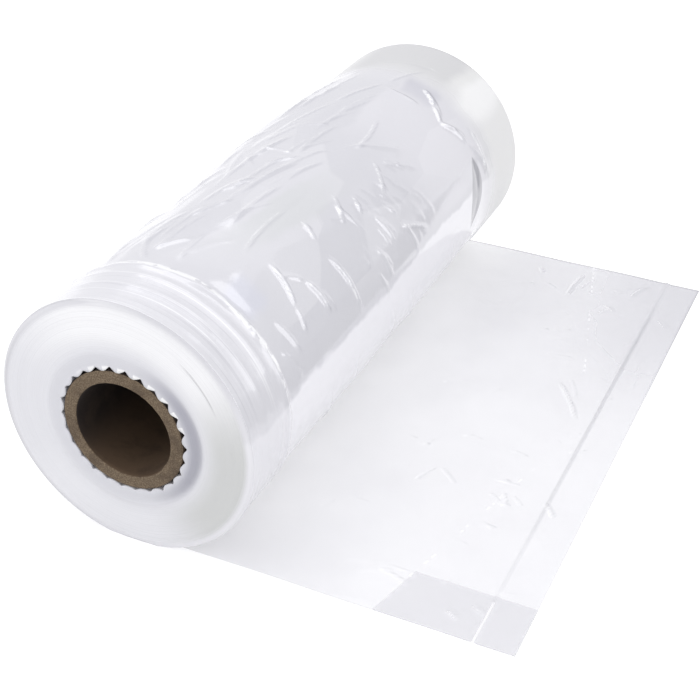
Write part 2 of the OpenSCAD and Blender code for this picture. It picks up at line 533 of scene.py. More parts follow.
def spun(profile, steps):
    """A bmesh of a closed outline of (radius, y) points spun once round the roll's axis."""
    bm = bmesh.new()
    verts = [bm.verts.new((r, y, 0)) for r, y in profile]
    edges = [bm.edges.new((a, b)) for a, b in zip(verts, verts[1:] + verts[:1])]
    bmesh.ops.spin(
        bm, geom=verts + edges, cent=(0, 0, 0), axis=(0, 1, 0),
        angle=2 * math.pi, steps=steps, use_merge=True,
    )
    bmesh.ops.remove_doubles(bm, verts=bm.verts, dist=1e-7)
    return bm


def lines_height(u, v, lines, profile, wrap=None):
    """The summed height in mm of ridges at points (u, v) in mm, each from one point to another."""
    total = np.zeros_like(u)
    for u0, v0, u1, v1, height, width in lines:
        du, dv = u1 - u0, v1 - v0
        length = math.hypot(du, dv)
        pu, pv = u - u0, v - v0
        if wrap:
            pv = (pv + wrap / 2) % wrap - wrap / 2
        along = (pu * du + pv * dv) / length
        bow = 0.04 * length * np.sin(np.clip(along / length, 0, 1) * math.pi)
        across = np.abs((pu * dv - pv * du) / length + bow)
        beyond = np.maximum(0, np.maximum(-along, along - length))
        total += height * profile(along / length, across / width, beyond / width)
    return total


def round_swell(along, across, beyond):
    return np.exp(-(across**2) - beyond**2)


def sharp_crease(along, across, beyond):
    taper = smooth(np.minimum(along, 1 - along) / 0.30 + 0.15)
    rounded = np.hypot(across, 0.3) - 0.3
    return taper * np.exp(-2.2 * rounded) * np.exp(-((4 * beyond) ** 2))


def flat_tent(along, across, beyond):
    ends = 0.35 + 0.65 * smooth(np.minimum(along, 1 - along) / 0.2)
    return ends * np.maximum(0, 1 - np.hypot(across, 2 * beyond)) ** 1.15


def seeded_creases(seed, count, start, side, reach, turn, height, width):
    """Seeded fine creases, in the terms of CREASES or SHEET_CREASES."""
    r = np.random.default_rng(seed)
    found = []
    for _ in range(count):
        a, b = r.uniform(*start), r.uniform(*side)
        c, d = a + r.uniform(*reach), b + r.uniform(*turn)
        found.append((a, b, c, d, r.uniform(*height), r.uniform(*width)))
    return found


def film_creases():
    """Every sharp crease of the wound film: the ones seen in the photo, and seeded fine ones."""
    upper = seeded_creases(
        seed=7, count=40, start=(-195, 130), side=(86, 130), reach=(25, 85), turn=(-14, -2),
        height=(0.5, 1.0), width=(2.6, 3.4),
    )
    crackle = seeded_creases(
        seed=9, count=30, start=(-60, 66), side=(26, 60), reach=(3, 13), turn=(-13, -5),
        height=(0.25, 0.6), width=(2.0, 2.6),
    )
    back = seeded_creases(
        seed=11, count=46, start=(-195, 110), side=(134, 325), reach=(25, 90), turn=(-14, 8),
        height=(0.35, 0.8), width=(3.0, 4.5),
    )
    return CREASES + UPPER_CREASES + upper + crackle + back


def rolled(lines, radius):
    """Crease lines with their angles turned into mm round a roll, whose radius is in mm too."""
    arc = math.pi * radius / 180
    return [(a, b * arc, c, d * arc, e, f) for a, b, c, d, e, f in lines]


def soft_waves(u, v, seed, count, low, high):
    """A sum of long low waves with seeded directions, from -1 to 1 or so."""
    r = np.random.default_rng(seed)
    total = np.zeros_like(u)
    for _ in range(count):
        length, turn = r.uniform(low, high), r.uniform(0, math.pi)
        start = r.uniform(0, 2 * math.pi)
        along = u * math.cos(turn) + v * math.sin(turn)
        total += np.sin(2 * math.pi * along / length + start)
    return total / math.sqrt(count)


def slack_waves(y, angle, seed, count, turns, low):
    """Long low waves of the slack film, closed round the roll. y in mm and angle in radians."""
    r = np.random.default_rng(seed)
    total = np.zeros_like(y)
    for _ in range(count):
        number, length = r.integers(*turns), r.uniform(low, 2 * low) * r.choice((-1, 1, 1))
        total += np.sin(number * angle + 2 * math.pi * y / length + r.uniform(0, 2 * math.pi))
    return total / math.sqrt(count)


def crumple(y, angle, seed, count):
    """Sharp-crested wrinkles in patches, closed round the roll, from 0 to 1 or so."""
    r = np.random.default_rng(seed)
    total = np.zeros_like(y)
    for _ in range(count):
        number, length = r.integers(9, 30), r.uniform(90, 260)
        bend = 0.9 * np.sin(r.integers(2, 6) * angle + y / r.uniform(25, 60) + r.uniform(0, 6))
        crest = 1 - np.abs(np.sin(0.5 * (number * angle + 2 * math.pi * y / length) + bend))
        patch = np.sin(r.integers(1, 5) * angle + r.uniform(0, 6))
        patch = patch * np.sin(y / r.uniform(30, 80) + r.uniform(0, 6))
        total += crest**2.2 * np.clip(patch, 0, 1)
    return total / math.sqrt(count)


def lip_radius():
    """The radius of the gathered lip at each end of the film's hole."""
    return HOLE_R + sizes().ruffle_gap * LIP_SHARE


def film_outline():
    """The wound film's outline as (radius, y) points: outside, far end, ruffles, near end."""
    s = sizes()
    flat = ROLL_HALF - s.rim_r
    middle = ROLL_HALF - BAND_W
    near = np.linspace(-flat, -middle, NEAR_RINGS)
    rest = np.linspace(-middle, middle, MIDDLE_RINGS)[1:-1]
    far = np.linspace(middle, flat, FAR_RINGS)
    outside = [(ROLL_R, y) for y in [*near, *rest, *far]]
    rim = [
        (ROLL_R - s.rim_r + s.rim_r * math.cos(a), flat + s.rim_r * math.sin(a))
        for a in np.linspace(0, math.pi / 2, RIM_RINGS)[1:]
    ]
    lip = lip_radius()
    face = [(r, ROLL_HALF) for r in np.linspace(ROLL_R - s.rim_r, lip, FACE_RINGS)[1:]]
    pocket = [(lip, ROLL_HALF - s.ruffle_depth * t) for t in (0.12, 0.35, 0.7, 1.0)]
    end = rim + face + pocket + [(HOLE_R, ROLL_HALF - s.ruffle_depth)]
    return outside + end + [(r, -y) for r, y in reversed(end)]


def middle_height(y, turned):
    """The slack middle's share of the outside's height, in mm."""
    s = sizes()
    radius = ROLL_R / MM
    around, whole = turned * radius, 2 * math.pi * radius
    inner = ROLL_HALF / MM - SLACK_START - np.abs(y)
    middle, body = smooth(inner / np.where(y < 0, 6, 26)), smooth(inner / 20)
    creases = lines_height(y, around, rolled(film_creases(), radius), sharp_crease, whole)
    creases += lines_height(y, around, rolled(FACETS, radius), flat_tent, whole)
    loose = 0.30 * slack_waves(y, turned, seed=3, count=6, turns=(3, 9), low=320)
    loose = loose + 0.07 * slack_waves(y, turned, seed=5, count=8, turns=(12, 30), low=180)
    loose += 0.32 * crumple(y, turned, seed=12, count=9)
    bulge = lines_height(y, around, rolled(BULGE, radius), round_swell, whole)
    return -s.slack / MM * middle + body * (s.crease_scale * (creases + loose) + bulge)


def outside_height(y, angle):
    """How far the film's outside stands off the plain cylinder, in metres.

    y is in mm and the angle in degrees.
    """
    s = sizes()
    turned = np.radians(angle)
    height = middle_height(y, turned)
    for ridges, end in ((NEAR_RIDGES, -1), (FAR_RIDGES, 1)):
        for place, ridge, width in ridges:
            swell = 0.6 + 0.4 * np.sin(2 * turned + place) * np.sin(7 * turned + 2 * place)
            swell += 0.35 * np.sin(17 * turned + place) * np.sin(11 * turned)
            off = end * y - (ROLL_HALF / MM - place)
            off += 0.8 * np.sin(3 * turned + place) + 0.4 * np.sin(8 * turned + 3 * place)
            height += s.ridge_scale * ridge * swell * np.exp(-((off / width) ** 2))
    jagged = 0.5 + 0.5 * np.sin(31 * turned) * np.sin(13 * turned + 1)
    step = -y - (ROLL_HALF / MM - 59 - 1.5 * jagged)
    height += 0.5 * s.ridge_scale * jagged * np.exp(-((step / 2.0) ** 2))
    flare = 0.8 * smooth((-y - (ROLL_HALF / MM - 16)) / 14)
    return MM * (height + flare)


def face_depth(radius, angle, end):
    """How far an end face lies behind the roll's end, in metres.

    The radius is in mm and the angle in degrees.
    """
    rim = ROLL_R / MM
    core = CORE_R / MM
    top = smooth(1 - np.abs((angle - 72 + 180) % 360 - 180) / 110)
    dish = (0.4 + 3.8 * top) * smooth((radius - 0.68 * rim) / (0.32 * rim)) ** 1.5
    turns = 0.20 * np.sin(radius * 1.9 + 0.6 * np.sin(np.radians(angle + 70 * end)))
    turns += 0.12 * np.sin(radius * 4.3 + np.sin(np.radians(2 * angle)))
    side = smooth(1 - np.abs((angle + 14 + 180) % 360 - 180) / 105)
    slip = 3.2 * side * np.exp(-(((radius - 0.585 * rim - 1.5 * side) / 3.2) ** 2))
    step = 0.7 * smooth((radius - 0.62 * rim) / 1.5) - 0.7
    pleats = 0.5 * np.cos(np.radians(angle * sizes().ruffles)) * np.exp(-(radius - core - 1) / 2.6)
    return MM * (0.5 + dish + turns + slip + step + pleats)


def shape_film(points):
    """Moves the spun film's points to their creased, ridged, ruffled and flattened places."""
    s = sizes()
    x, y, z = points.T
    radius, angle = np.hypot(x, z), np.degrees(np.arctan2(z, x))
    angle = angle - DENSE_PULL * np.sin(np.radians(angle - DENSE_AT))
    out = smooth((radius - (ROLL_R - s.rim_r - 0.0005)) / s.rim_r)
    side = np.sign(y)
    lip = lip_radius()
    ruffled = (radius < lip + 0.02) & (radius > CORE_R + 0.0005)
    ruffled &= np.abs(y) > ROLL_HALF - s.ruffle_depth - 1e-5
    notch = 1 - np.abs(np.sin(np.radians(angle * s.ruffles / 2)))
    sway = 0.35 * np.sin(np.radians(5 * angle)) + 0.3 * np.sin(np.radians(11 * angle + 40))
    fall = np.exp(-np.maximum(0, radius - lip) / 0.0022)
    pull = s.ruffle_gap * (notch**1.2 * (1 + 0.5 * sway)) - s.ruffle_gap * LIP_SHARE * 0.9
    pull = pull * fall
    new_r = radius + out * outside_height(y / MM, angle) + np.where(ruffled, pull, 0)
    on_face = (radius > lip - 1e-5) & (np.abs(y) > ROLL_HALF - s.rim_r - 1e-6)
    inward = smooth((np.abs(y) - (ROLL_HALF - s.rim_r)) / s.rim_r)
    inward = inward * face_depth(radius / MM, angle, side)
    new_y = y - side * np.where(on_face | ruffled, inward, 0)
    a = np.radians(angle)
    moved = np.stack([new_r * np.cos(a), new_y, new_r * np.sin(a)], axis=1)
    moved[:, 2] = np.maximum(moved[:, 2], FLOOR_Z + 0.0001)
    return moved


def crease_slope(points):
    """How much higher the creases are on the far and front side of each point, in mm."""
    radius = ROLL_R / MM
    x, y, z = points.T / MM
    around = np.arctan2(z, x) * radius
    lines, whole = rolled(film_creases(), radius), 2 * math.pi * radius
    ahead = lines_height(y + 0.7, around - 1.1, lines, sharp_crease, whole)
    return ahead - lines_height(y - 0.7, around + 1.1, lines, sharp_crease, whole)


def keep_slope(mesh, slope):
    kept = mesh.attributes.new("slope", "FLOAT", "POINT")
    kept.data.foreach_set("value", slope.astype(np.float32))


def make_wound_film():
    piece = new_piece("wound_film", spun(film_outline(), sizes().steps))
    points = shape_film(read_points(piece.data))
    write_points(piece.data, points)
    keep_slope(piece.data, crease_slope(points))
    piece.data.materials.append(film_material())
    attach(piece, "root")
    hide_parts("wound_bags")


def zone(sh, y, angle, along, around, fade=0.03):
    """1 on a patch of the film between two places along the roll and two angles in degrees."""
    inside = sh.ramp(y, along[0] - fade, along[0] + fade)
    inside = inside * (1 - sh.ramp(y, along[1] - fade, along[1] + fade))
    above = sh.ramp(angle, around[0] - 3, around[0] + 3)
    return inside * above * (1 - sh.ramp(angle, around[1] - 2, around[1] + 2))


def shaded_fold_mouth(sh, y, angle):
    """1 in the mouth of the fold beside the far band, where its shade is painted."""
    middle = 0.1600 + angle * 0.000375
    half = 0.0125 * (1 - ((angle - 7) / 19) ** 2)
    return sh.ramp(half - abs(y - middle), -0.0006, 0.0012)


def on_near_rim(sh, y, radius):
    """1 on the rounded rim of the near end."""
    end = 1 - sh.ramp(y, -ROLL_HALF + 0.0010, -ROLL_HALF + 0.0040)
    return end * sh.ramp(radius, ROLL_R - 0.0045, ROLL_R - 0.0015)


class FilmPlace:
    """Where a point of the wound film lies, and the parts of the film, each from 0 to 1."""

    def __init__(self, sh):
        self.at, (x, self.y, z) = sh.place()
        self.radius = (x * x + z * z).root()
        self.angle = sh.math("ARCTAN2", z, x) * (180 / math.pi)
        self.on_end = sh.ramp(abs(self.y), ROLL_HALF - 0.008, ROLL_HALF - 0.003)
        self.on_end *= 1 - sh.ramp(self.radius, ROLL_R - 0.007, ROLL_R - 0.002)
        self.band = sh.ramp(abs(self.y), ROLL_HALF - BAND_W, ROLL_HALF - BAND_W + 0.010)
        self.cloud = sh.noise(self.at, 9.0, 3.0)
        self.patch = sh.noise(self.at, 26.0, 3.0)
        self.far = sh.ramp(self.y + self.patch * 0.03, 0.195, 0.235)
        self.wavy = self.angle + (self.patch - 0.5) * 12
        self.upper = sh.ramp(self.angle, 64, 80)
        # Where the end faces' outer part and the near rim are painted lighter.
        self.top = 1 - sh.ramp(abs(self.angle - 75), 30, 90)
        self.turn_lines = sh.line_noise(self.radius * 1500, 3.0)
        self.fine_lines = sh.line_noise(self.radius * 5200, 1.0)


def middle_tones(sh, p, base):
    """Lays painted reflections, highlights and shade over the middle's and the far band's colour."""
    # Lighter and darker facets are painted reflections of the slack film's flat facets.
    facet = sh.cells(sh.stretched(p.at, (1, 0.34, 1)), 27.0)
    under = sh.ramp(p.angle, -150, -140) * (1 - sh.ramp(p.angle, 14, 26))
    loose = (1 - under) * (1 - sh.ramp(abs(p.y), 0.150, 0.200))
    # Painted shade in the dip beside the far band.
    hollow_shade = zone(sh, p.y, p.wavy, (0.160, 0.190), (61, 80), 0.008)
    # A painted dark reflection over the top of the far band.
    crown_shade = p.far * sh.ramp(p.wavy, 57, 66) * (1 - sh.ramp(p.angle, 110, 130))
    # A painted highlight on the far band's front side.
    gleam = p.far * sh.ramp(p.wavy, 32, 42) * (1 - sh.ramp(p.wavy, 50, 57))
    # A painted reflection of the white table along the low side of the middle.
    strip = (1 - sh.ramp(p.wavy, 8.0, 11.0)) * sh.ramp(p.angle, -120, -60)
    strip = strip * (1 - p.far) * (1 - sh.ramp(p.y, 0.168, 0.186) * 0.5)
    # Greenish, bluish and pale patches of painted reflection.
    green = zone(sh, p.y, p.wavy + p.y * 70, (-0.140, -0.030), (55, 72), 0.045)
    blue = zone(sh, p.y, p.wavy, (-0.206, -0.178), (48, 63), 0.008)
    pale = zone(sh, p.y, p.wavy, (0.065, 0.170), (14, 82), 0.035)
    return sh.layers(
        base,
        (sh.ramp(p.cloud, 0.35, 0.75) * 0.35, (0.78, 0.78, 0.81)),
        (sh.ramp(facet, 0.56, 0.68) * loose * 0.26, (0.60, 0.60, 0.645)),
        ((1 - sh.ramp(facet, 0.30, 0.42)) * loose * 0.26, (0.81, 0.805, 0.84)),
        (hollow_shade * 0.6, (0.50, 0.50, 0.57)),
        (p.band * (1 - p.far) * 0.35, (0.79, 0.785, 0.82)),
        (crown_shade * 0.9, (0.64, 0.64, 0.65)),
        (gleam * 0.7, (0.95, 0.95, 0.95)),
        (strip * (1 - p.band * 0.5), (0.92, 0.915, 0.95)),
        (green * 0.55, (0.66, 0.675, 0.68)),
        (blue * 0.6, (0.69, 0.70, 0.79)),
        (pale * 0.5, (0.80, 0.79, 0.83)),
    )


def crease_tones(sh, p, base):
    """Lays the creases' painted shade and highlights, and painted shade in the fold's mouth, over a
    colour.
    """
    lit, shaded = sh.slope(0.20, 0.60)
    ragged = 0.2 + sh.ramp(sh.noise(p.at, 240.0, 3.0, 0.7), 0.43, 0.54) * 0.8
    return sh.layers(
        base,
        (shaded * (0.50 - p.upper * 0.12), (0.48, 0.48, 0.53)),
        (lit * ragged * (0.85 - p.upper * 0.50), (0.97, 0.97, 0.98)),
        (shaded_fold_mouth(sh, p.y, p.angle) * 0.92, (0.44, 0.44, 0.47)),
    )


def face_colour(sh, p):
    """The colour of the roll's end faces: the edges of the turns, and painted light, shade and
    highlights.
    """
    # Masks for painted light and shade: the lower right is painted darker, the lower left lighter.
    right = 1 - sh.ramp(abs(p.angle - 2), 30, 80)
    low_right_shade = 1 - sh.ramp(abs(p.angle + 18), 20, 62)
    low_left_light = 1 - sh.ramp(abs(p.angle + 105), 20, 60)
    # Painted shade round the core and in the ring of the slip step, most on the right.
    well_shade = 1 - sh.ramp(p.radius, 0.48 * ROLL_R, 0.68 * ROLL_R)
    ring = 1 - sh.ramp(abs(p.radius - 0.565 * ROLL_R), 0.001, 0.0085)
    outer = sh.ramp(p.radius, 0.60 * ROLL_R, 0.78 * ROLL_R)
    crack = 1 - sh.ramp(abs(p.radius - (0.80 * ROLL_R + p.angle * 0.00006)), 0.0003, 0.0009)
    crack = crack * sh.ramp(p.angle, 22, 32) * (1 - sh.ramp(p.angle, 46, 58))
    crack = crack * sh.ramp(p.fine_lines, 0.3, 0.6)
    # The lip's teeth on the upper right, painted white as highlights.
    lip = 1 - sh.ramp(p.radius, CORE_R + 0.0030, CORE_R + 0.0048)
    teeth = sh.ramp((p.angle * (sizes().ruffles * math.pi / 180)).sine(), 0.0, 0.4)
    teeth = lip * teeth * sh.ramp(p.angle, 5, 25) * (1 - sh.ramp(p.angle, 110, 140))
    return sh.layers(
        (0.79, 0.79, 0.825),
        # Over the base: painted light on top, shade low right, light low left, then shade round the
        # core and in the ring.
        (p.top * outer * 0.9, (0.99, 0.99, 1.0)),
        (low_right_shade * outer * 0.8, (0.61, 0.62, 0.60)),
        (low_left_light * outer * 0.7, (0.88, 0.88, 0.91)),
        (well_shade * 0.4, (0.60, 0.60, 0.65)),
        (ring * (right * 0.75 + 0.10), (0.34, 0.34, 0.40)),
        ((1 - sh.ramp(p.turn_lines, 0.34, 0.52)) * 0.18, (0.60, 0.60, 0.63)),
        (crack * 0.6, (0.30, 0.30, 0.32)),
        (teeth, (0.99, 0.99, 0.99)),
    )


def near_end_tones(sh, p, base):
    """Lays painted shade, reflections and highlights over the near rim and the near band."""
    rim = on_near_rim(sh, p.y, p.radius)
    # The rim gets painted shade on the left and a painted highlight on top.
    left = 1 - sh.ramp(abs(abs(p.angle) - 165), 20, 75)
    # Light and dark painted reflections along the near band, and a broken painted highlight along
    # its inner edge.
    reflection_streaks = sh.noise(sh.stretched(p.at, (5, 330, 5)), 1.0, 2.0)
    near_band = (1 - sh.ramp(p.y, -0.214, -0.204)) * (1 - p.on_end) * (1 - rim)
    near_band = near_band * sh.ramp(p.angle, 6, 34)
    border_highlight = 1 - sh.ramp(abs(p.y + 0.2085 + (p.patch - 0.5) * 0.012), 0.0010, 0.0038)
    border_highlight = border_highlight * sh.ramp(p.angle, 8, 24) * (1 - sh.ramp(p.angle, 95, 120))
    broken = sh.ramp(sh.noise(p.at, 120.0, 2.0), 0.40, 0.50)
    return sh.layers(
        base,
        (rim * left * 0.6, (0.52, 0.52, 0.55)),
        (rim * p.top * 0.8, (0.98, 0.98, 1.0)),
        (sh.ramp(reflection_streaks, 0.60, 0.68) * near_band * 0.6, (0.95, 0.95, 0.97)),
        ((1 - sh.ramp(reflection_streaks, 0.34, 0.43)) * near_band * 0.45, (0.58, 0.58, 0.62)),
        (border_highlight * broken, (0.99, 0.99, 1.0)),
    )


def film_material():
    """The milky film of the roll: glossy in the middle, duller on the far band and the ends."""
    c = colours()
    sh = Shader(bpy.data.materials.new("milky wound film"))
    p = FilmPlace(sh)
    base = sh.blend(p.far, c.film, c.film_far)
    base = crease_tones(sh, p, middle_tones(sh, p, base))
    base = near_end_tones(sh, p, sh.blend(p.on_end, base, face_colour(sh, p)))
    crinkle = sh.noise(sh.stretched(p.at, (1, 0.45, 1)), 42.0, 4.0, 0.55, 0.6)
    round_lines = sh.line_noise(p.y * 900, 3.0)
    height = crinkle * (1 - p.band) * (1 - p.on_end) * 0.35
    height = height + round_lines * p.band * (1 - p.on_end) * 0.25
    height = height + (p.turn_lines * 0.7 + p.fine_lines * 0.3) * p.on_end * 0.45
    rough = 0.10 + p.on_end * 0.22 + p.far * 0.25 + sh.ramp(p.cloud, 0.4, 0.8) * 0.05
    rough = rough + p.upper * (1 - p.on_end) * 0.08
    sh.surface(
        base_color=base, roughness=rough, ior=1.5, specular_ior_level=0.75,
        coat_weight=(1 - p.far) * 0.4, coat_roughness=0.05, normal=sh.bump(height, 0.35, 0.0012),
    )
    return sh.owner


def shoulders_meet():
    """Where the two straight shoulder seals, carried on, meet on the sheet's middle line."""
    s = sizes()
    return SHEET_HIGH.x - s.neck_inset - s.neck_r + s.neck_r / math.cos(s.shoulder_tilt)


def seal_distance(x, y):
    """The distance in metres from the shoulder seal, positive towards the free edge."""
    s = sizes()
    off = np.abs(y - SHEET_MIDDLE)
    neck_x = SHEET_HIGH.x - s.neck_inset
    seal_x = shoulders_meet() - off * math.tan(s.shoulder_tilt)
    slope = (x - seal_x) * math.cos(s.shoulder_tilt)
    arc = np.hypot(x - (neck_x - s.neck_r), off) - s.neck_r
    inside = off < s.neck_r * math.sin(s.shoulder_tilt)
    return np.where(inside, arc, slope)


def make_loose_sheet():
    s = sizes()
    low, high = SHEET_LOW.x, SHEET_HIGH.x
    width, length = SHEET_HIGH.y - SHEET_LOW.y, high - low
    bm = bmesh.new()
    layer = bm.loops.layers.uv.new("flat")
    columns, rows = int(length / SHEET_STEP), int(width / SHEET_STEP)
    bmesh.ops.create_grid(bm, x_segments=columns, y_segments=rows, size=0.5)
    place = Matrix.Translation((low + length / 2, SHEET_MIDDLE, 0))
    bmesh.ops.transform(bm, matrix=place @ Matrix.Diagonal((length, width, 1, 1)), verts=bm.verts)
    for face in bm.faces:
        for loop in face.loops:
            loop[layer].uv = (loop.vert.co.x, loop.vert.co.y)
    piece = new_piece("leading_bag_film", bm)
    points = read_points(piece.data)
    x, y = points[:, 0], points[:, 1]
    points[:, 2] = FLOOR_Z + s.film_t + sheet_height(x, y)
    write_points(piece.data, points)
    slope = sheet_creases(x + 0.0008, y + 0.0006) - sheet_creases(x - 0.0008, y - 0.0006)
    keep_slope(piece.data, slope)
    if piece.data.polygons[0].normal.z < 0:
        piece.data.flip_normals()
    shell = piece.modifiers.new("film", "SOLIDIFY")
    shell.thickness = s.film_t
    shell.offset = -1
    piece.data.materials.append(sheet_material())
    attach(piece, "root")
    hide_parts("leading_bag")


def sheet_creases(x, y):
    """The height in mm of the loose sheet's creases."""
    fine = seeded_creases(
        seed=31, count=44, start=(105, 268), side=(-240, 240), reach=(6, 28), turn=(-9, 14),
        height=(0.3, 0.6), width=(2.2, 3.2),
    )
    return lines_height(x / MM, y / MM, SHEET_CREASES + fine, sharp_crease)


def sheet_height(x, y):
    """How far the loose sheet stands off the table, in metres."""
    s = sizes()
    free = SHEET_HIGH.x - x
    side = np.minimum(y - SHEET_LOW.y, SHEET_HIGH.y - y)
    waves = 0.5 + 0.5 * soft_waves(x / MM, y / MM, seed=21, count=6, low=60, high=200)
    rise = 0.25 * np.clip(waves, 0, 2) * smooth((x - 0.02) / 0.05)
    gusset = 0.22 * (1 - smooth((side - s.gusset_w + 0.0012) / 0.0024))
    past_cross = free - s.cross_inset
    cross = 0.75 * np.exp(-((past_cross / 0.0016) ** 2))
    cross = cross - 0.25 * np.exp(-(((past_cross + 0.0045) / 0.003) ** 2))
    dots = smooth((np.abs(np.sin(y * math.pi / DOT_PITCH)) - 0.45) / 0.3)
    seal = 0.45 * np.exp(-((seal_distance(x, y) / 0.0013) ** 2)) * dots
    edge = 0.5 * np.exp(-free / 0.006) * (0.5 + 0.5 * np.sin(y * 40 + 1))
    edge += 0.5 * np.exp(-side / 0.006) * (0.5 + 0.5 * np.sin(x * 55 + 2))
    total = sheet_creases(x, y) + rise + gusset + cross + seal + edge + 0.25
    return MM * np.maximum(total, 0)


def sheet_material():
    """The clear film of the loose bag: milkier where its layers lie double, with painted shade and
    highlights.
    """
    c = colours()
    s = sizes()
    sh = Shader(bpy.data.materials.new("clear loose film"))
    at, (x, y, _) = sh.place()
    free = SHEET_HIGH.x - x
    off = abs(y - SHEET_MIDDLE)
    side = (SHEET_HIGH.y - SHEET_LOW.y) / 2 - off
    cloud = sh.noise(at, 14.0, 3.0)
    gusset = 1 - sh.ramp(side, s.gusset_w - 0.0008, s.gusset_w + 0.0008)
    gusset = gusset * (1 - sh.ramp(y, -0.01, 0.01))
    past_seal = x - (shoulders_meet() - off * math.tan(s.shoulder_tilt))
    beyond = sh.ramp(past_seal, -0.001, 0.001)
    # The seal's dots, painted lighter as highlights.
    dash = 1 - sh.ramp(abs(past_seal), 0.0004, 0.0015)
    dash = dash * sh.ramp(abs((y * (math.pi / DOT_PITCH)).sine()), 0.55, 0.75)
    dash = dash * sh.ramp(off, 0.060, 0.075) * sh.ramp(sh.noise(at, 70.0, 1.0), 0.48, 0.56)
    line = 1 - sh.ramp(abs(free - s.cross_inset), 0.0006, 0.0024)
    # A thin painted highlight along the pressed line on the near side.
    thin = 1 - sh.ramp(abs(free - s.cross_inset), 0.0003, 0.0013)
    near_strip = 1 - sh.ramp(y, -0.222, -0.216)
    pressed = line * (1 - near_strip) * sh.ramp(y, -0.30, -0.02)
    pressed = pressed * (1 - sh.ramp(y, 0.17, 0.25) * 0.8)
    far = sh.ramp(y, -0.05, 0.26)
    edge = 1 - sh.ramp(free, 0.0006, 0.0024) + 1 - sh.ramp(side, 0.0006, 0.0022)
    open_part = sh.ramp(x, 0.060, 0.150)
    corner = sh.ramp(x, 0.180, 0.285) * sh.ramp(y, 0.0, 0.23)
    near_end = (1 - sh.ramp(y, -0.269, -0.150)) * (1 - sh.ramp(x, 0.10, 0.20))
    # Painted shade and highlights on the sheet's creases.
    lit, shaded = sh.slope(0.12, 0.45)
    alpha = 0.13 + open_part * 0.04 + far * open_part * 0.11 + corner * 0.14
    alpha = alpha + gusset * beyond * 0.15 + cloud * 0.08 + near_end * 0.06
    alpha = alpha + pressed * (0.08 + cloud * 0.10) + edge * far * 0.20 + shaded * 0.10
    alpha = alpha * (1 - dash * 0.4) * (1 - lit * 0.35) * (1 - thin * near_strip * 0.7)
    dark = pressed * 0.45 + shaded * 0.25 + edge * far * 0.30
    crinkle = sh.noise(sh.stretched(at, (1, 0.6, 1)), 60.0, 4.0, 0.55, 0.8)
    sh.surface(
        base_color=sh.blend(dark, c.sheet, (0.48, 0.48, 0.52)), roughness=0.12 + cloud * 0.06,
        ior=1.5, alpha=alpha, normal=sh.bump(crinkle, 0.25, 0.0008),
    )
    return sh.owner


def make_core():
    """The paperboard tube, with a bevelled cut edge and the raised seam of its spiral."""
    bevel, rings, plies, steps = 0.0006, 170, 12, 144
    half = CORE_HALF
    along = list(np.linspace(-half + bevel, half - bevel, rings))
    face = list(np.linspace(CORE_R - bevel, BORE_R + bevel, plies))
    profile = [(CORE_R, -half + bevel), (CORE_R, half - bevel)]
    profile += [(r, half) for r in face]
    profile += [(BORE_R, y) for y in reversed(along)]
    profile += [(r, -half) for r in reversed(face)]
    piece = new_piece("core_tube", spun(profile, steps))
    points = read_points(piece.data)
    x, y, z = points.T
    radius, angle = np.hypot(x, z), np.arctan2(z, x)
    turn = angle / (2 * math.pi) - y / SEAM_PITCH + SEAM_START
    seam = np.abs((turn + 0.5) % 1 - 0.5) * SEAM_PITCH
    bore = radius < BORE_R + 1e-5
    radius = radius + np.where(bore, -0.0004 * np.exp(-((seam / 0.0022) ** 2)), 0)
    fuzz = 0.00012 * np.sin(angle * 37 + radius * 9000) * (np.abs(y) > half - 1e-5)
    moved = np.stack([radius * np.cos(angle), y + fuzz, radius * np.sin(angle)], axis=1)
    write_points(piece.data, moved)
    piece.data.materials.append(board_material())
    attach(piece, "root")
    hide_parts("core")


def board_material():
    """Rough brown board: ply edges on the cut ends, the seam in the bore, and painted shade high in
    the bore.
    """
    c = colours()
    sh = Shader(bpy.data.materials.new("spiral wound board"))
    at, (x, y, z) = sh.place()
    radius = (x * x + z * z).root()
    cut = sh.ramp(abs(y), CORE_HALF - 0.0008, CORE_HALF - 0.0002)
    speckle = sh.noise(at, 900.0, 3.0, 0.7)
    blotch = sh.noise(at, 60.0, 4.0, 0.6)
    plies = sh.line_noise(radius * 1900, 2.0)
    turn = sh.math("ARCTAN2", z, x) / (2 * math.pi) - y / SEAM_PITCH + SEAM_START
    seam = 1 - sh.ramp(abs((turn + 0.5).fraction() - 0.5), 0.004, 0.012)
    # Painted shade: the bore darkens towards its upper left.
    inside = sh.blend(sh.ramp(z + x * -0.3, -0.034, 0.004), c.board_in, (0.014, 0.008, 0.006))
    base = sh.layers(
        sh.blend(cut, inside, c.board),
        (sh.ramp(speckle, 0.42, 0.62) * cut * 0.6, (0.34, 0.26, 0.17)),
        (sh.ramp(blotch, 0.45, 0.70) * 0.5, (0.045, 0.028, 0.018)),
        (cut * sh.ramp(plies, 0.45, 0.60) * 0.25, (0.10, 0.07, 0.045)),
        (seam * (1 - cut) * 0.7, (0.30, 0.22, 0.14)),
    )
    height = speckle * 0.6 + blotch * 0.3 + plies * cut * 0.4
    sh.surface(base_color=base, roughness=0.86, normal=sh.bump(height, 0.5, 0.0006))
    return sh.owner


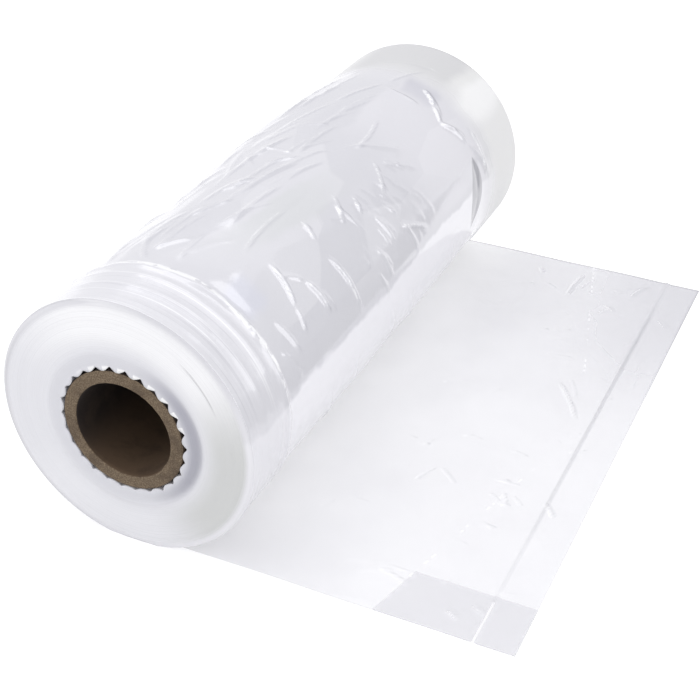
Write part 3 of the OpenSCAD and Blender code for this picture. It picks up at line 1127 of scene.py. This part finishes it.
def make_camera():
    """The camera that the photo fits, at its place above the table."""
    data = bpy.data.cameras.new("photo camera")
    data.lens = CAMERA_LENS
    data.clip_end = 50
    camera = bpy.data.objects.new("photo camera", data)
    turn, tilt = CAMERA_TURN, CAMERA_TILT
    level = math.cos(tilt)
    back = Vector((math.sin(turn) * level, -math.cos(turn) * level, math.sin(tilt)))
    right = Vector((math.cos(turn), math.sin(turn), 0))
    up = back.cross(right)
    across = right * math.cos(CAMERA_ROLL) + up * math.sin(CAMERA_ROLL)
    over = up * math.cos(CAMERA_ROLL) - right * math.sin(CAMERA_ROLL)
    look = Matrix((across, over, back)).transposed().to_4x4()
    at = Vector(CAMERA_AT) + Vector((0, 0, FLOOR_Z))
    camera.matrix_world = Matrix.Translation(at) @ look
    bpy.context.scene.collection.objects.link(camera)
    bpy.context.scene.camera = camera


def aimed(at, target):
    """A matrix at a point whose -Z looks at a target."""
    look = (Vector(target) - Vector(at)).to_track_quat("-Z", "Y").to_matrix().to_4x4()
    return Matrix.Translation(at) @ look


def soft_box(name, at, size, watts):
    """A rectangular light that faces the middle of the roll."""
    data = bpy.data.lights.new(name, "AREA")
    data.shape, data.size, data.size_y = "RECTANGLE", size[0], size[1]
    data.energy = watts
    lamp = bpy.data.objects.new(name, data)
    lamp.matrix_world = aimed(at, (0, 0, 0))
    bpy.context.scene.collection.objects.link(lamp)


def glossy_only(piece, shade):
    """Makes a stage piece glow with one shade, and show in reflections only."""
    sh = Shader(bpy.data.materials.new(piece.name))
    glow = sh.node("ShaderNodeEmission", color=shade, strength=1.0)
    sh.node("ShaderNodeOutputMaterial", surface=glow.outputs[0])
    piece.data.materials.append(sh.owner)
    piece.visible_camera = piece.visible_diffuse = piece.visible_shadow = False
    piece.visible_transmission = piece.visible_volume_scatter = False


def card(name, corners, shade):
    """A plain four-cornered card that only shows in reflections."""
    bm = bmesh.new()
    bm.faces.new([bm.verts.new(corner) for corner in corners])
    glossy_only(new_piece(name, bm, False), shade)


def make_floor():
    """The white table, which looks brighter than the light that it casts on the film."""
    bm = bmesh.new()
    bmesh.ops.create_grid(bm, x_segments=1, y_segments=1, size=6)
    bmesh.ops.translate(bm, verts=bm.verts, vec=(0, 0, FLOOR_Z - 0.0002))
    piece = new_piece("floor", bm, False)
    if piece.data.polygons[0].normal.z < 0:
        piece.data.flip_normals()
    sh = Shader(bpy.data.materials.new("white table"))
    path = sh.node("ShaderNodeLightPath")
    seen = Num(sh, path.outputs["Is Camera Ray"])
    glossy = Num(sh, path.outputs["Is Glossy Ray"])
    matte = sh.node("ShaderNodeBsdfDiffuse", color=(0.8, 0.8, 0.8))
    shown = sh.node("ShaderNodeBsdfDiffuse", color=TABLE_SHADE)
    glow = sh.node("ShaderNodeEmission", color=(0.985, 0.985, 1.0), strength=TABLE_GLOW)
    both = sh.node("ShaderNodeAddShader", shader_0=shown.outputs[0], shader_1=glow.outputs[0])
    mix = sh.node("ShaderNodeMixShader", shader_1=matte.outputs[0], shader_2=both.outputs[0])
    sh.feed(mix.inputs[0], seen + glossy)
    sh.node("ShaderNodeOutputMaterial", surface=mix.outputs[0])
    piece.data.materials.append(sh.owner)


def make_world():
    """A pale room that the film reflects, behind a plain white backdrop."""
    world = bpy.data.worlds.new("pale studio")
    bpy.context.scene.world = world
    sh = Shader(world)
    seen = Num(sh, sh.node("ShaderNodeLightPath").outputs["Is Camera Ray"])
    room = sh.node("ShaderNodeBackground", color=(0.98, 0.98, 1.0), strength=ROOM_LIGHT)
    white = sh.node("ShaderNodeBackground", color=(1, 1, 1), strength=1.0)
    mix = sh.node("ShaderNodeMixShader", shader_1=room.outputs[0], shader_2=white.outputs[0])
    sh.feed(mix.inputs[0], seen)
    sh.node("ShaderNodeOutputWorld", surface=mix.outputs[0])


def light_arch():
    """A bright arch round the roll, which shows only as thin lights on ridges and creases."""
    bm = bmesh.new()
    ends = [
        bm.verts.new((ARCH_R * math.sin(a), ARCH_R * math.cos(a), 0))
        for a in map(math.radians, ARCH_EDGES)
    ]
    edge = bm.edges.new(ends)
    turn = -math.radians(ARCH_SPAN)
    bmesh.ops.spin(bm, geom=[*ends, edge], cent=(0, 0, 0), axis=(0, 1, 0), angle=turn, steps=32)
    lean = Matrix.Rotation(math.radians(ARCH_LEAN), 3, "Y")
    bmesh.ops.rotate(bm, verts=bm.verts, matrix=lean, cent=(0, 0, 0))
    glossy_only(new_piece("light arch", bm, False), (2.6, 2.6, 2.65))


def back_disc():
    """A grey disc straight behind the roll, which darkens the far side of each ridge and crease."""
    bm = bmesh.new()
    bmesh.ops.create_circle(bm, cap_ends=True, segments=48, radius=0.6)
    bmesh.ops.transform(bm, matrix=aimed((0, 2.1, 0), (0, 0, 0)), verts=bm.verts)
    glossy_only(new_piece("back disc", bm, False), (0.40, 0.40, 0.43))


def grey_cards():
    """Cards behind the roll and on the table, whose reflection greys the middle's near half."""
    corners = []
    for turn, rise in FLAG_CORNERS:
        a, b = math.radians(turn), math.radians(rise)
        x, y = FLAG_R * math.sin(a) * math.cos(b), FLAG_R * math.cos(a) * math.cos(b)
        corners.append((x, y, FLAG_R * math.sin(b)))
    card("grey flag", corners, (0.56, 0.565, 0.57))
    low = FLOOR_Z + 0.001
    card("grey table", [(x, y, low) for x, y in TABLE_CARD_CORNERS], (0.40, 0.405, 0.41))


def make_lights():
    soft_box("overhead", at=(-0.35, -0.20, 1.5), size=(1.3, 1.1), watts=3.5)
    soft_box("front left", at=(-1.5, -1.5, 0.9), size=(1.2, 1.0), watts=5.5)
    soft_box("low fill", at=(1.7, -0.3, 0.25), size=(0.8, 0.5), watts=2.5)
    grey_cards()
    back_disc()
    light_arch()


class OBJECT_OT_wound_film(bpy.types.Operator):
    """Model the wound film with its ridges, creases, turns and ruffles"""

    bl_idname = "bag_roll.wound_film"
    bl_label = "Wound film"

    def execute(self, context):
        make_wound_film()
        return {"FINISHED"}


class OBJECT_OT_loose_sheet(bpy.types.Operator):
    """Model the first bag, pulled out flat along the table"""

    bl_idname = "bag_roll.loose_sheet"
    bl_label = "Leading bag"

    def execute(self, context):
        make_loose_sheet()
        return {"FINISHED"}


class OBJECT_OT_core(bpy.types.Operator):
    """Model the paperboard core"""

    bl_idname = "bag_roll.core"
    bl_label = "Core"

    def execute(self, context):
        make_core()
        return {"FINISHED"}


class OBJECT_OT_stage(bpy.types.Operator):
    """Set up the camera, the floor and the studio light"""

    bl_idname = "bag_roll.stage"
    bl_label = "Stage"

    def execute(self, context):
        make_camera()
        make_floor()
        make_world()
        make_lights()
        scene = context.scene
        scene.view_settings.view_transform = "Standard"
        return {"FINISHED"}


class VIEW3D_PT_bag_roll(bpy.types.Panel):
    """Lists the pieces of the roll"""

    bl_label = "Bag roll"
    bl_idname = "VIEW3D_PT_bag_roll"
    bl_space_type = "VIEW_3D"
    bl_region_type = "UI"
    bl_category = "Bag roll"

    def draw(self, context):
        for operator in OPERATORS:
            self.layout.operator(operator.bl_idname)


OPERATORS = (OBJECT_OT_core, OBJECT_OT_wound_film, OBJECT_OT_loose_sheet, OBJECT_OT_stage)
CLASSES = (RollSizes, RollColours, *OPERATORS, VIEW3D_PT_bag_roll)


def register():
    for cls in CLASSES:
        bpy.utils.register_class(cls)
    bpy.types.Scene.bag_roll_sizes = PointerProperty(type=RollSizes)
    bpy.types.Scene.bag_roll_colours = PointerProperty(type=RollColours)


def unregister():
    del bpy.types.Scene.bag_roll_colours
    del bpy.types.Scene.bag_roll_sizes
    for cls in reversed(CLASSES):
        bpy.utils.unregister_class(cls)


def main():
    register()
    bpy.ops.bag_roll.core()
    bpy.ops.bag_roll.wound_film()
    bpy.ops.bag_roll.loose_sheet()
    bpy.ops.bag_roll.stage()


if __name__ == "__main__":
    main()
